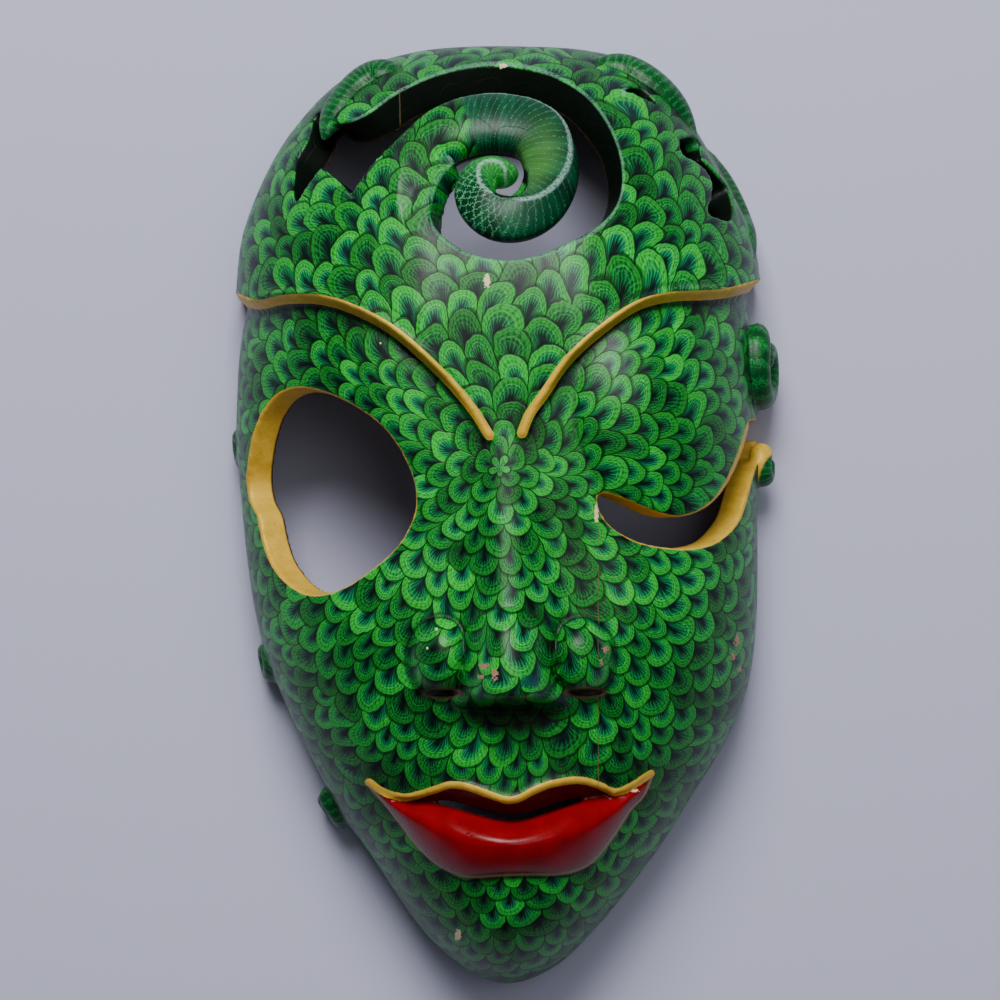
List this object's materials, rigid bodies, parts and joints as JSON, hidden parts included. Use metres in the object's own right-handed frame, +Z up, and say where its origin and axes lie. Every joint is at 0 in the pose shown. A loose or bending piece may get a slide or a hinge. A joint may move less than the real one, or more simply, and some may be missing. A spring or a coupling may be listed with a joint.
{
  "type": "carved wooden face mask",
  "caption": "Hollow carved wooden face mask painted with green scales, one large open eye, one crescent eye, red lips and a pierced crown round a curled volute.",
  "frame": {"origin": "on the surface that the rim lies on, under the middle of the mask", "axes": "+Z up out of the face, +Y towards the crown, +X to the side of the crescent eye"},
  "size_m": [0.1644, 0.2802, 0.0912],
  "materials": {
    "painted_wood": "gloss paint"
  },
  "bodies": {
    "root": {"carved_mask": "painted_wood"}
  },
  "joints": []
}
